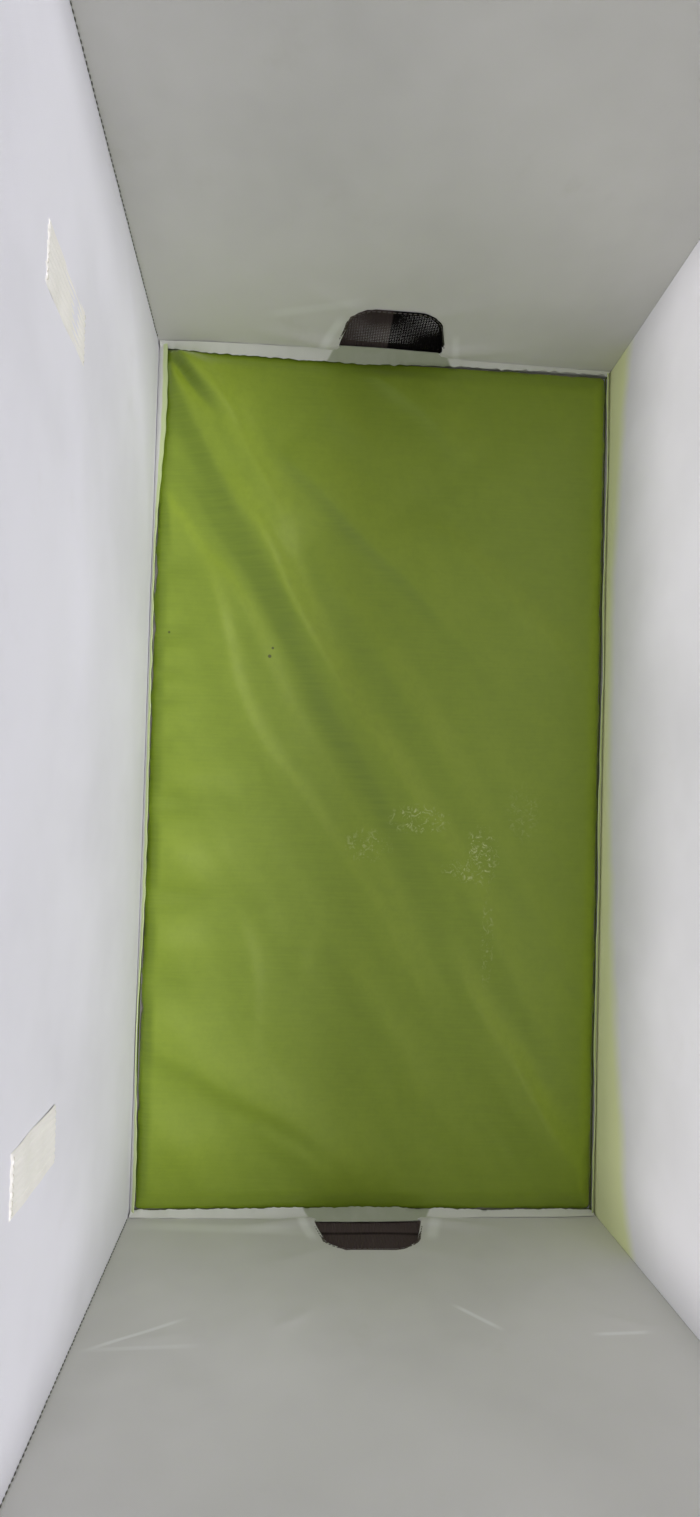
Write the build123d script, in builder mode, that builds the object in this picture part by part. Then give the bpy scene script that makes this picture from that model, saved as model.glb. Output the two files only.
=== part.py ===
from build123d import *
import math
import os

# Fabric toy chest: board-stiffened walls, loose base panel, cloth-hinged lid.
# Millimetres. +X runs along the chest, +Y to the back, +Z up.
# The origin is the centre of the underside. The lid hangs open behind the back wall.

# ---- driving dimensions ----
base_length = 600.0  # loose base panel, along X
base_width = 320.0  # loose base panel, along Y
wall_height = 400.0  # ground to rim

board = 3.0  # greyboard in the walls and the lid
base_board_thickness = 3.0
cover_cloth = 1.0  # lime outer cloth with its backing
lining_cloth = 0.8  # white non-woven lining
bottom_cloth_thickness = 1.0
backing_cloth = 0.8  # under the base panel

base_clearance = 2.0  # base panel to lining, all round
soft_gap = 0.3  # between cloth on pieces that move apart
pocket_gap = 1.0  # board to the end of its sewn pocket
board_corner = 4.0  # die-cut corner radius
base_corner = 5.0  # corner radius of the base panel

corner_cord_radius = 2.2  # corded seams up the corners
corner_cord_proud = 1.5  # how far they stand out from the walls
binding_cloth = 0.8  # folded over the rim
binding_depth = 12.0
binding_roll = 0.5  # softened edges of the fold
hinge_cloth = 0.8
hinge_end_margin = 8.0  # tape stops short of the chest's corners

vent_sill_width = 78.0  # D-shaped vent, flat side down
vent_head_width = 55.0
vent_height = 42.0
vent_above_base = 10.0  # base panel's top to the sill
vent_head_radius = 17.0
vent_sill_radius = 5.0
facing_cloth = 0.8  # turned edge inside the vent
net_cloth = 0.6  # dark net closing the vent

hem_cloth = 0.8
end_hem_above_base = 9.0  # seam allowance showing above the base panel at the ends
side_hem_above_base = 4.0  # and along the front and back

patch_width = 26.0  # ribbed patches on the front lining
patch_height = 60.0
patch_backing = 0.8
patch_corner = 1.5
patch_rib_pitch = 3.2
patch_rib_width = 2.0
patch_rib_height = 0.4
patch_margin = 1.6  # flat edge for the stitching
patch_spacing = 360.0  # centre to centre
patch_above_base = 205.0  # lower edge above the base panel

skirt_depth = 40.0  # lid flaps, below the lid's underside
skirt_cloth = 1.2
lid_cord_height = 3.6  # corded seam round the lid's top edge
lid_cord_proud = 1.5
lid_cord_round = 1.3

# ---- sizes that follow ----
wall = lining_cloth + board + cover_cloth
inner_x = base_length / 2 + base_clearance
inner_y = base_width / 2 + base_clearance
outer_x = inner_x + wall
outer_y = inner_y + wall
floor_z = bottom_cloth_thickness  # foot of the walls
board_top = wall_height - binding_cloth
binding_foot = wall_height - binding_depth

backing_z = floor_z + soft_gap
base_board_z = backing_z + backing_cloth
base_top = base_board_z + base_board_thickness + cover_cloth
vent_sill_z = base_top + vent_above_base

lid_thickness = cover_cloth + board + lining_cloth
hinge_y = outer_y + max(binding_cloth + hinge_cloth, corner_cord_proud) + soft_gap
hinge_z = wall_height + soft_gap + lid_thickness
lid_back = outer_y + binding_cloth - soft_gap - hinge_y  # clears the tape when the lid is shut
skirt_gap = max(corner_cord_proud, binding_cloth) + soft_gap
lid_inner_x = outer_x + skirt_gap
lid_outer_x = lid_inner_x + skirt_cloth
lid_inner_front = -(hinge_y + outer_y + skirt_gap)
lid_outer_front = lid_inner_front - skirt_cloth

# ---- planes ----
# The lid's own plane lies in its top face: x along the hinge, y from front to hinge, z out of the top.
lid_top = Plane(origin=(0, hinge_y, hinge_z), x_dir=(1, 0, 0), z_dir=(0, -1, 0))


def towards_front(y):
    """Upright plane at y that faces -Y, its own x along X and its own y up."""
    return Plane(origin=(0, y, 0), x_dir=(1, 0, 0), z_dir=(0, -1, 0))


def towards_back(y):
    """Upright plane at y that faces +Y, its own x along -X and its own y up."""
    return Plane(origin=(0, y, 0), x_dir=(-1, 0, 0), z_dir=(0, 1, 0))


# ---- shared forms ----
def save(piece, name):
    """Label a finished piece and write it as a node of its own."""
    piece.part.label = name
    export_step(piece.part, f"parts/{name}.step")


def layer(plane, x_span, y_span, thickness, corner=0.0, vent=None):
    """Flat layer over two spans of a plane, with its corners rounded and a vent cut if asked."""
    (x_low, x_high), (y_low, y_high) = x_span, y_span
    with BuildPart() as piece:
        with BuildSketch(plane):
            with Locations(((x_low + x_high) / 2, (y_low + y_high) / 2)):
                outline = Rectangle(x_high - x_low, y_high - y_low)
            if corner > 0:
                fillet(outline.vertices(), corner)
            if vent is not None:
                add(vent, mode=Mode.SUBTRACT)
        extrude(amount=thickness)
    return piece


def mirrored(piece, plane):
    """The opposite-hand copy of a piece."""
    with BuildPart() as copy:
        mirror(piece.part, about=plane)
    return copy


def save_front_and_back(front, name):
    save(front, f"front_{name}")
    save(mirrored(front, Plane.XZ), f"back_{name}")


def save_both_ends(right, name):
    save(right, f"right_{name}")
    save(mirrored(right, Plane.YZ), f"left_{name}")


os.makedirs("parts", exist_ok=True)

# ---- underside ----
bottom_cloth = layer(
    Plane.XY, (-outer_x, outer_x), (-outer_y, outer_y), bottom_cloth_thickness
)
save(bottom_cloth, "bottom_cloth")

# ---- front and back walls, from the lining outwards ----
wall_rise = (floor_z, board_top)
lining_reach = inner_x + lining_cloth
front_lining = layer(
    towards_front(-inner_y), (-lining_reach, lining_reach), wall_rise, lining_cloth
)
save_front_and_back(front_lining, "lining")

board_reach = lining_reach + board - pocket_gap
front_board = layer(
    towards_front(-inner_y - lining_cloth),
    (-board_reach, board_reach),
    wall_rise,
    board,
    corner=board_corner,
)
save_front_and_back(front_board, "board")

front_cover = layer(
    towards_front(-outer_y + cover_cloth), (-outer_x, outer_x), wall_rise, cover_cloth
)
save_front_and_back(front_cover, "cover")

# ---- end walls with their vents, from the lining outwards ----
lean = math.degrees(math.atan2(vent_height, (vent_sill_width - vent_head_width) / 2))
with BuildSketch() as vent_outline:
    with Locations((0, vent_sill_z)):
        Trapezoid(vent_sill_width, vent_height, lean, align=(Align.CENTER, Align.MIN))
    sill_corners, head_corners = vent_outline.vertices().group_by(Axis.Y)
    fillet(sill_corners, vent_sill_radius)
    fillet(head_corners, vent_head_radius)
vent = vent_outline.sketch

right_end_lining = layer(
    Plane.YZ.offset(inner_x), (-inner_y, inner_y), wall_rise, lining_cloth, vent=vent
)
save_both_ends(right_end_lining, "end_lining")

end_board_reach = inner_y + lining_cloth - pocket_gap
right_end_board = layer(
    Plane.YZ.offset(inner_x + lining_cloth),
    (-end_board_reach, end_board_reach),
    wall_rise,
    board,
    corner=board_corner,
    vent=vent,
)
save_both_ends(right_end_board, "end_board")

end_cover_reach = outer_y - cover_cloth
right_end_cover = layer(
    Plane.YZ.offset(outer_x - cover_cloth),
    (-end_cover_reach, end_cover_reach),
    wall_rise,
    cover_cloth,
    vent=vent,
)
save_both_ends(right_end_cover, "end_cover")

# turned edge: a sleeve of cloth through the wall, inside the vent
with BuildPart() as right_vent_facing:
    with BuildSketch(Plane.YZ.offset(inner_x)):
        add(vent)
        offset(vent, amount=-facing_cloth, mode=Mode.SUBTRACT)
    extrude(amount=wall)
save_both_ends(right_vent_facing, "vent_facing")

# net across the vent, just behind the lining
with BuildPart() as right_vent_net:
    with BuildSketch(Plane.YZ.offset(inner_x + lining_cloth)):
        offset(vent, amount=-facing_cloth)
    extrude(amount=net_cloth)
save_both_ends(right_vent_net, "vent_net")

# ---- seam allowance along the foot of each wall ----
right_hem = layer(
    Plane.YZ.offset(inner_x - hem_cloth),
    (-inner_y, inner_y),
    (floor_z, base_top + end_hem_above_base),
    hem_cloth,
)
save_both_ends(right_hem, "hem")

side_hem_reach = inner_x - hem_cloth
front_hem = layer(
    towards_front(-inner_y + hem_cloth),
    (-side_hem_reach, side_hem_reach),
    (floor_z, base_top + side_hem_above_base),
    hem_cloth,
)
save_front_and_back(front_hem, "hem")

# ---- corded seams up the corners ----
cord_sink = corner_cord_radius - corner_cord_proud
with BuildPart() as front_right_cord:
    with BuildSketch(Plane.XY.offset(floor_z)):
        with Locations((outer_x - cord_sink, -outer_y + cord_sink)):
            Circle(corner_cord_radius)
        Rectangle(2 * outer_x, 2 * outer_y, mode=Mode.SUBTRACT)
    extrude(amount=binding_foot - floor_z)
back_right_cord = mirrored(front_right_cord, Plane.XZ)
save(front_right_cord, "front_right_piping")
save(back_right_cord, "back_right_piping")
save(mirrored(front_right_cord, Plane.YZ), "front_left_piping")
save(mirrored(back_right_cord, Plane.YZ), "back_left_piping")

# ---- binding folded over the rim ----
with BuildPart() as rim_binding:
    with BuildSketch(Plane.XY.offset(binding_foot)):
        Rectangle(2 * (outer_x + binding_cloth), 2 * (outer_y + binding_cloth))
        Rectangle(2 * (inner_x - binding_cloth), 2 * (inner_y - binding_cloth), mode=Mode.SUBTRACT)
    extrude(amount=binding_depth)
    with BuildSketch(Plane.XY.offset(binding_foot)):
        Rectangle(2 * outer_x, 2 * outer_y)
        Rectangle(2 * inner_x, 2 * inner_y, mode=Mode.SUBTRACT)
    extrude(amount=board_top - binding_foot, mode=Mode.SUBTRACT)
    fillet(rim_binding.edges().group_by(Axis.Z)[-1], binding_roll)
save(rim_binding, "rim_binding")

# ---- ribbed patches inside the front wall ----
rib_count = int((patch_width - 2 * patch_margin) / patch_rib_pitch)
patch_face = towards_back(-inner_y)
with BuildPart() as left_patch:
    patch_centre = Location((patch_spacing / 2, base_top + patch_above_base + patch_height / 2))
    with BuildSketch(patch_face):
        with Locations(patch_centre):
            RectangleRounded(patch_width, patch_height, patch_corner)
    extrude(amount=patch_backing)
    with BuildSketch(patch_face.offset(patch_backing)):
        with Locations(patch_centre):
            with GridLocations(patch_rib_pitch, patch_height, rib_count, 1):
                Rectangle(patch_rib_width, patch_height - 2 * patch_margin)
    extrude(amount=patch_rib_height)
save(left_patch, "left_patch")
save(mirrored(left_patch, Plane.YZ), "right_patch")

# ---- cloth hinge, sewn over the binding at the back ----
hinge_reach = outer_x - hinge_end_margin
hinge_tape = layer(
    towards_back(outer_y + binding_cloth),
    (-hinge_reach, hinge_reach),
    (binding_foot, hinge_z - cover_cloth - soft_gap),
    hinge_cloth,
)
save(hinge_tape, "hinge_tape")

# ---- loose base panel ----
base_x, base_y = base_length / 2, base_width / 2
base_backing = layer(
    Plane.XY.offset(backing_z), (-base_x, base_x), (-base_y, base_y), backing_cloth, base_corner
)
save(base_backing, "base_backing")

pocket_x, pocket_y = base_x - cover_cloth, base_y - cover_cloth
base_board = layer(
    Plane.XY.offset(base_board_z),
    (-pocket_x, pocket_x),
    (-pocket_y, pocket_y),
    base_board_thickness,
    base_corner - cover_cloth,
)
save(base_board, "base_board")

with BuildPart() as base_cover:
    with BuildSketch(Plane.XY.offset(base_board_z)):
        RectangleRounded(base_length, base_width, base_corner)
    extrude(amount=base_board_thickness + cover_cloth)
    add(base_board.part, mode=Mode.SUBTRACT)
save(base_cover, "base_cover")

# ---- lid, laid out in its own plane ----
lid_cover = layer(
    lid_top.offset(-cover_cloth), (-lid_outer_x, lid_outer_x), (lid_outer_front, 0), cover_cloth
)
save(lid_cover, "lid_cover")

lid_board_plane = lid_top.offset(-cover_cloth - board)
lid_board = layer(
    lid_board_plane,
    (-lid_inner_x, lid_inner_x),
    (lid_inner_front, lid_back),
    board,
    corner=board_corner,
)
save(lid_board, "lid_board")

lid_lining = layer(
    lid_top.offset(-lid_thickness),
    (-lid_inner_x, lid_inner_x),
    (lid_inner_front, lid_back),
    lining_cloth,
)
save(lid_lining, "lid_lining")

skirt_drop = lid_thickness - cover_cloth + skirt_depth
skirt_foot = lid_top.offset(-lid_thickness - skirt_depth)
lid_front_skirt = layer(
    skirt_foot, (-lid_outer_x, lid_outer_x), (lid_outer_front, lid_inner_front), skirt_drop
)
save(lid_front_skirt, "lid_front_skirt")

lid_right_skirt = layer(
    skirt_foot, (lid_inner_x, lid_outer_x), (lid_inner_front, lid_back), skirt_drop
)
save(lid_right_skirt, "lid_right_skirt")
save(mirrored(lid_right_skirt, Plane.YZ), "lid_left_skirt")

# corded seam round the front and both ends of the lid's top edge
cord_x, cord_front = lid_outer_x + lid_cord_proud, lid_outer_front - lid_cord_proud
with BuildPart() as lid_piping:
    with BuildSketch(lid_top.offset(-lid_cord_height)):
        with Locations((0, lid_back)):
            Rectangle(2 * cord_x, lid_back - cord_front, align=(Align.CENTER, Align.MAX))
            Rectangle(
                2 * lid_outer_x,
                lid_back - lid_outer_front,
                align=(Align.CENTER, Align.MAX),
                mode=Mode.SUBTRACT,
            )
    extrude(amount=lid_cord_height)
    outer_edges = lid_piping.edges().filter_by(
        lambda edge: abs(abs(edge.center().X) - cord_x) < 0.01
        or abs(edge.center().Z - hinge_z - cord_front) < 0.01
    )
    fillet(outer_edges.filter_by(Axis.Y, reverse=True), lid_cord_round)
save(lid_piping, "lid_piping")
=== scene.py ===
"""Cloth toy chest: board-stiffened walls, white lining, loose base panel, flap lid.

Metres throughout. +X runs along the chest, +Y to its back, +Z up.
"""

import math
import random

import bmesh
import bpy
import numpy as np
from mathutils import Matrix, Vector


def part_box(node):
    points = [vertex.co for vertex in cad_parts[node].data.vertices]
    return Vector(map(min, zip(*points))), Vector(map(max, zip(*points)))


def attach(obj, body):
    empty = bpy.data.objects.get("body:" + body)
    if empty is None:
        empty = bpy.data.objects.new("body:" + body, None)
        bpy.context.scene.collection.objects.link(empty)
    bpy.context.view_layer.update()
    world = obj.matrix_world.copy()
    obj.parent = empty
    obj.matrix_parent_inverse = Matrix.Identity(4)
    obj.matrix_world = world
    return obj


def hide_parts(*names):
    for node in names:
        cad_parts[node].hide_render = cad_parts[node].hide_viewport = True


bl_info = {
    "name": "Cloth Toy Chest",
    "version": (1, 0, 0),
    "blender": (4, 5, 0),
    "location": "View3D > Sidebar > Toy Chest",
    "description": "Builds the cloths, seams and finishes of an open toy chest",
    "category": "Add Mesh",
}

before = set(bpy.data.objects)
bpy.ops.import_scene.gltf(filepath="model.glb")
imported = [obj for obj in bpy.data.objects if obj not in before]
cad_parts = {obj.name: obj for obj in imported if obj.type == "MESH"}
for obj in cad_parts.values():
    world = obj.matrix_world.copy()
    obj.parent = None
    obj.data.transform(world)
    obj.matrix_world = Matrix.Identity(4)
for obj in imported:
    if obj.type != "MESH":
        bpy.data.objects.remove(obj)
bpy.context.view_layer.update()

MM = 0.001


# ---------------------------------------------------------------- sizes of the chest
def low(node):
    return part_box(node)[0]


def high(node):
    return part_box(node)[1]


def measure(node):
    """A node's lowest and highest corner, and its size along X, Y and Z."""
    lowest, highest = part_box(node)
    return lowest, highest, [b - a for a, b in zip(lowest, highest)]


INNER_X = high("back_lining").x - (high("right_end_lining").x - low("right_end_lining").x)
INNER_Y = low("back_lining").y
OUTER_X = high("right_end_cover").x
OUTER_Y = high("back_cover").y
FLOOR_Z = low("front_board").z
BASE_TOP = high("base_cover").z
RIM_Z = high("rim_binding").z
BINDING_FOOT = low("rim_binding").z
BOARD_TOP = high("front_board").z
WALL_TALL, WALL_THICK = BOARD_TOP - FLOOR_Z, OUTER_X - INNER_X
HINGE_Y, HINGE_Z = low("lid_cover").y, high("lid_cover").z
VENT_LOW, VENT_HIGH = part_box("right_vent_facing")
VENT_HEAD, VENT_HEAD_ROUND, VENT_SILL_ROUND = 55 * MM, 17 * MM, 5 * MM
END_CELL, CORD_STEP = 4 * MM, 5 * MM
CRISP = math.radians(50)
# Each wall: its name, whether it is an end, and its side of the chest.
WALLS = (
    ("front", False, -1), ("back", False, 1), ("left_end", True, -1), ("right_end", True, 1)
)


def on_wall(end, run, out, z):
    """A point by a wall: run along the wall, out across it."""
    return (out, run, z) if end else (run, out, z)


def wall_place(end, side, face, width, z, tall, inward=1):
    """Corner, run and rise of a cloth on a wall's inner face, or outer with inward -1."""
    turn = side * inward * (1 if end else -1)
    corner = on_wall(end, turn * width / 2, side * face, z)
    return corner, on_wall(end, -turn * width, 0, 0), (0, 0, tall)


def level_seam(end, half, face, z, facing):
    """A level row of stitches along a wall, from -half to half, and the way it faces."""
    return [on_wall(end, run, face, z) for run in (-half, half)], on_wall(end, 0, facing, 0)


def rgb(red, green, blue):
    """Linear colour of the usual 0-255 screen values."""
    linear = []
    for value in (red, green, blue):
        value /= 255
        linear.append(value / 12.92 if value <= 0.04045 else ((value + 0.055) / 1.055) ** 2.4)
    return tuple(linear)


def shaded(colour, share):
    """A colour times one share or three, held at 1."""
    shares = (share,) * 3 if isinstance(share, float) else share
    return tuple(min(1.0, value * part) for value, part in zip(colour, shares))


def span(name, text, metres):
    return bpy.props.FloatProperty(
        name=name, description=text, default=metres, min=0.0, unit="LENGTH", precision=5
    )


def tint(name, text, *screen):
    return bpy.props.FloatVectorProperty(
        name=name, description=text, default=rgb(*screen), size=3, min=0.0, max=1.0,
        subtype="COLOR",
    )


class ChestSizes(bpy.types.PropertyGroup):
    """Sizes of the cloths, seams and trim."""

    base_cell: span("Base cloth cell", "Mesh cell of the base cloth", 2.2 * MM)
    wall_cell: span("Wall cloth cell", "Mesh cell of the wall cloths", 5 * MM)
    fold_scale: bpy.props.FloatProperty(
        name="Fold height", description="Height of the base cloth's folds", default=1.0, min=0.0
    )
    lining_ease: span("Lining ease", "How far the slack lining stands off its board", 1.4 * MM)
    cover_ease: span("Cover ease", "How far the outer cloth stands off its board", 0.5 * MM)
    stitch_pitch: span("Stitch pitch", "Start of one stitch to the next", 3.4 * MM)
    stitch_length: span("Stitch length", "Visible length of one stitch", 2.5 * MM)
    stitch_thread: span("Sewing thread", "Diameter of the sewing thread", 0.7 * MM)
    net_pitch: span("Net pitch", "One hole of the net to the next", 1.7 * MM)
    net_thread: span("Net thread", "Width of the net's threads", 1.0 * MM)


class ChestColours(bpy.types.PropertyGroup):
    """Colours of the cloths and boards."""

    lime: tint("Lime cloth", "Outer cloth", 150, 178, 62)
    base: tint("Base cloth", "Satin over the base panel", 141, 165, 41)
    lining: tint("Lining", "White lining", 242, 241, 250)
    hem: tint("Hems", "Seam allowance inside", 234, 235, 228)
    tape: tint("Lime tape", "Piping, binding and hinge tape", 140, 168, 58)
    cream: tint("Cream tape", "Ribbed patches", 253, 250, 244)
    net: tint("Net", "Dark net and its facing", 54, 47, 45)
    greyboard: tint("Greyboard", "Stiffening boards", 146, 141, 133)
    thread: tint("Thread", "Sewing thread on the lime cloth", 176, 198, 96)


def sizes():
    return bpy.context.scene.chest_sizes


def colours():
    return bpy.context.scene.chest_colours


# ---------------------------------------------------------------- nodes
def operator(operation, swapped=False):
    """One of Python's operators as a Math node."""

    def apply(self, other):
        values = (other, self) if swapped else (self, other)
        return self.nodes.maths(operation, *values)

    return apply


class Value:
    """What a node gives out; Python's operators on it add Math nodes."""

    def __init__(self, nodes, socket):
        self.nodes, self.socket = nodes, socket

    __add__ = __radd__ = operator("ADD")
    __sub__, __rsub__ = operator("SUBTRACT"), operator("SUBTRACT", swapped=True)
    __mul__ = __rmul__ = operator("MULTIPLY")
    __truediv__ = operator("DIVIDE")


class Nodes:
    """The nodes of one material, or of the world."""

    def __init__(self, tree):
        self.tree = tree
        self.tree.nodes.clear()

    def node(self, kind, inputs=None, out=0, **settings):
        """Adds a node: first its settings, then its sockets' values or links."""
        made = self.tree.nodes.new("ShaderNode" + kind)
        for key, value in settings.items():
            setattr(made, key, value)
        for key, value in (inputs or {}).items():
            socket = made.inputs[key]
            if isinstance(value, Value):
                self.tree.links.new(value.socket, socket)
            elif socket.type == "RGBA" and len(value) == 3:
                socket.default_value = (*value, 1.0)
            else:
                socket.default_value = value
        return Value(self, made.outputs[out]) if made.outputs else None

    def maths(self, operation, *values):
        return self.node("Math", dict(enumerate(values)), operation=operation)


class Finish(Nodes):
    """One material: a Principled shader and the nodes that feed it, from the object's
    own coordinates."""

    def __init__(self, name, **constants):
        self.material = bpy.data.materials.new(name)
        self.material.use_nodes = True
        super().__init__(self.material.node_tree)
        surface = self.node("BsdfPrincipled")
        self.node("OutputMaterial", {"Surface": surface})
        self.shader = surface.socket.node
        self.place = self.node("TexCoord", out="Object")
        for key, value in constants.items():
            self.shader.inputs[key.replace("_", " ")].default_value = value

    def feed(self, socket, value):
        self.tree.links.new(value.socket, self.shader.inputs[socket])

    def done(self, shade, roughness, height, distance, strength):
        """Feeds the colour, the roughness unless it is None and the bump's height."""
        self.feed("Base Color", shade)
        if roughness:
            self.feed("Roughness", roughness)
        inputs = {"Height": height, "Distance": distance * MM, "Strength": strength}
        self.feed("Normal", self.node("Bump", inputs))
        return self.material

    def cloth(self):
        """Coordinates on the cloth itself, in metres."""
        return self.node("UVMap", uv_map="cloth")

    def axes(self, vector, names):
        """One number for each named axis of a vector."""
        return [self.node("SeparateXYZ", {0: vector}, out=name) for name in names]

    def ease(self, value, start, end):
        """0 before start and 1 past end, smooth between."""
        limits = {0: value, 1: start, 2: end}
        return self.node("MapRange", limits, interpolation_type="SMOOTHSTEP")

    def oval(self, x, y, middle, radii, start):
        """1 inside an oval in the plane, from that share of its radii easing to 0."""
        dx, dy = ((c - m * MM) / (r * MM) for c, m, r in zip((x, y), middle, radii))
        return 1.0 - self.ease(dx * dx + dy * dy, start, 1.0)

    def noise(self, scale, detail=3.0, roughness=0.5, distortion=0.0, stretch=None):
        """Noise in the object's space, stretched by three factors if asked."""
        place = self.place
        if stretch:
            place = self.node("Mapping", {"Vector": place, "Scale": stretch})
        return self.node("TexNoise", {
            "Vector": place, "Scale": scale, "Detail": detail, "Roughness": roughness,
            "Distortion": distortion,
        })

    def mix(self, share, first, second):
        """Mix of two colours."""
        return self.node("Mix", {0: share, 6: first, 7: second}, out=2, data_type="RGBA")

    def stain(self, shade, colour, source, start, end, share=1.0):
        """Lays a colour over a shade by that share, where the source runs high."""
        return self.mix(self.ease(source, start, end) * share, shade, colour)

    def weave(self, pitch):
        """Height of a plain weave, 0 to 1, on the cloth's own coordinates."""
        turn = 2 * math.pi / (pitch * MM)
        warp, weft = (self.maths("SINE", axis * turn) for axis in self.axes(self.cloth(), "XY"))
        return warp * weft * 0.5 + 0.5


# ---------------------------------------------------------------- finishes
# Painted highlights along creases in the end linings, beside the vents and higher up, in
# mm: from y, z to y, z, half width; then the strength.
LEFT_PAINTED_HIGHLIGHTS = (
    (-52, 6, -34, 54, 5, 0.7), (42, 42, 48, 8, 4, 0.5), (-92, 46, -16, 70, 6, 0.35),
)
RIGHT_PAINTED_HIGHLIGHTS = (
    (-158, 166, -104, 136, 2.2, 0.8), (-160, 164, -92, 163, 2.6, 0.35),
    (-176, 22, -26, 36, 9, 0.4), (36, 124, 62, 154, 2.2, 0.8), (104, 157, 142, 155, 2.2, 0.8),
    (-49, 6, -36, 50, 5, 0.6), (38, 50, 50, 6, 6, 0.6),
)
# Rubbed places of the base cloth, in mm: centre x, y, half sizes; then the strength.
SCUFFS = (
    (27, 30, 12, 26, 0.75), (46, -6, 14, 20, 0.45), (51, 75, 24, 14, 1.0),
    (62, 66, 10, 22, 0.7), (110, 80, 44, 5, 0.35), (20, 104, 24, 14, 0.25),
)
# Its dark specks, in mm: centre x, y and radius.
SPECKS = ((-90, -76, 1.1), (-84, -78, 1.5), (-98, -148, 1.0))


def lining_finish(name, colour, glow=None, painted_highlights=()):
    """White non-woven lining, a little grubby, with a painted lime glow along the foot or painted
    highlights along creases if asked."""
    finish = Finish(name, Sheen_Weight=0.25, Sheen_Roughness=0.5)
    fibre = finish.noise(900.0, 2.0, 0.7)
    shade = finish.stain(colour, shaded(colour, 0.86), finish.noise(5.0, 4.0, 0.6), 0.35, 0.75)
    grubby = shaded(colour, (0.80, 0.79, 0.74))
    shade = finish.stain(shade, grubby, finish.noise(14.0, 5.0, 0.65), 0.60, 0.78, 0.35)
    # painted glow: light through the lime outer cloth, where the board stops short of the foot,
    # painted onto the lining
    if glow:
        x, z = finish.axes(finish.place, "XZ")
        reach = (x + 0.06) * (x + 0.06) * 0.40 + 0.019
        wobble = (finish.noise(22.0, 2.0) - 0.5) * 0.012
        share = 1.0 - finish.ease(z - reach - wobble, -0.009, 0.012)
        shade = finish.mix(share * 0.9, shade, glow)
    # painted highlights: lighter lines along creases in the lining
    for *line, power in painted_highlights:
        y, z = finish.axes(finish.place, "YZ")
        y0, z0, y1, z1, half = (value * MM for value in line)
        run = math.hypot(y1 - y0, z1 - z0)
        along_y, along_z = (y1 - y0) / run, (z1 - z0) / run
        dy, dz = y - y0, z - z0
        ahead = dy * along_y + dz * along_z
        aside = finish.maths("ABSOLUTE", dz * along_y - dy * along_z)
        crease = (1.0 - finish.ease(aside, half * 0.2, half)) * finish.ease(ahead, 0.0, run * 0.3)
        crease = crease * (1.0 - finish.ease(ahead, run * 0.7, run))
        shade = finish.mix(crease * power, shade, shaded(colour, 1.28))
    height = fibre * 0.5 + finish.weave(0.9) * 0.5
    return finish.done(shade, fibre * 0.16 + 0.70, height, 0.08, 0.6)


def cover_finish():
    """Lime satin of the outside: fine weave, slubs and a soft drift of shade."""
    colour = colours().lime
    finish = Finish("lime cover satin", Sheen_Weight=0.25, Sheen_Roughness=0.35)
    cloud = finish.noise(6.0, 4.0, 0.55)
    slub = finish.noise(26.0, 3.0, 0.6, stretch=(1.0, 1.0, 20.0))
    shade = finish.stain(colour, shaded(colour, 0.84), cloud, 0.35, 0.75, 0.6)
    shade = finish.stain(shade, shaded(colour, 1.12), slub, 0.35, 0.7, 0.3)
    height = finish.weave(0.9) * 0.6 + slub * 0.4
    return finish.done(shade, slub * 0.14 + 0.44, height, 0.1, 0.6)


def base_finish():
    """Satin base cloth: plain weave, sheen, painted highlight and shade on its folds, rubbed
    scuffs and specks.
    """
    colour = colours().base
    finish = Finish("base cloth satin", Sheen_Weight=0.2, Sheen_Roughness=0.3,
                    Specular_IOR_Level=0.75, Specular_Tint=(1.0, 0.98, 0.8, 1.0))
    x, y = finish.axes(finish.place, "XY")
    lift = finish.node("Attribute", out="Fac", attribute_name="lift")
    slub = finish.noise(30.0, 3.0, 0.65, stretch=(22.0, 1.0, 1.0))
    # a shaded and a lit copy of the satin: used for the painted highlight and shade, and for
    # random tone
    dark, pale = shaded(colour, (0.70, 0.74, 0.62)), shaded(colour, (1.20, 1.15, 1.25))
    # painted highlight and shade from the lift attribute: lighter on rises and on slopes facing
    # the key light, darker in valleys
    shade = finish.stain(dark, pale, lift, 0.0, 1.0)
    shade = finish.stain(shade, dark, finish.noise(9.0, 4.0, 0.55), 0.35, 0.75, 0.22)
    shade = finish.stain(shade, pale, slub, 0.3, 0.7, 0.22)
    shade = finish.stain(shade, dark, finish.noise(150.0, 4.0, 0.7), 0.35, 0.7, 0.26)
    scuff = 0.0
    for cx, cy, rx, ry, power in SCUFFS:
        patch = finish.oval(x, y, (cx, cy), (rx, ry), 0.15) * power
        scuff = finish.maths("MAXIMUM", scuff, patch)
    fleck = finish.noise(210.0, 5.0, 0.75, 1.2)
    shade = finish.stain(shade, rgb(216, 224, 158), fleck, 0.52, 0.66, scuff)
    for cx, cy, radius in SPECKS:
        speck = finish.oval(x, y, (cx, cy), (radius, radius), 0.3)
        shade = finish.mix(speck * 0.8, shade, rgb(52, 58, 26))
    height = finish.weave(0.8) * 0.6 + slub * 0.6
    return finish.done(shade, slub * 0.12 + 0.36, height, 0.1, 0.7)


def plain_cloth(name, colour, roughness=0.6, soiled=0.72):
    """Tape or patch: one colour with soiling and a plain weave."""
    finish = Finish(name, Sheen_Weight=0.25, Sheen_Roughness=0.45)
    cloud = finish.noise(30.0, 4.0, 0.6)
    shade = finish.stain(colour, shaded(colour, soiled), cloud, 0.35, 0.8, 0.5)
    height = finish.weave(0.9) * 0.7 + finish.noise(700.0, 2.0, 0.6) * 0.4
    return finish.done(shade, cloud * 0.2 + roughness, height, 0.1, 0.8)


def thread_finish(name, colour):
    """Twisted sewing thread."""
    finish = Finish(name, Roughness=0.5, Sheen_Weight=0.2)
    twist = finish.noise(1400.0, 1.0)
    return finish.done(finish.mix(twist, shaded(colour, 0.7), colour), None, twist, 0.08, 0.6)


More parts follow.
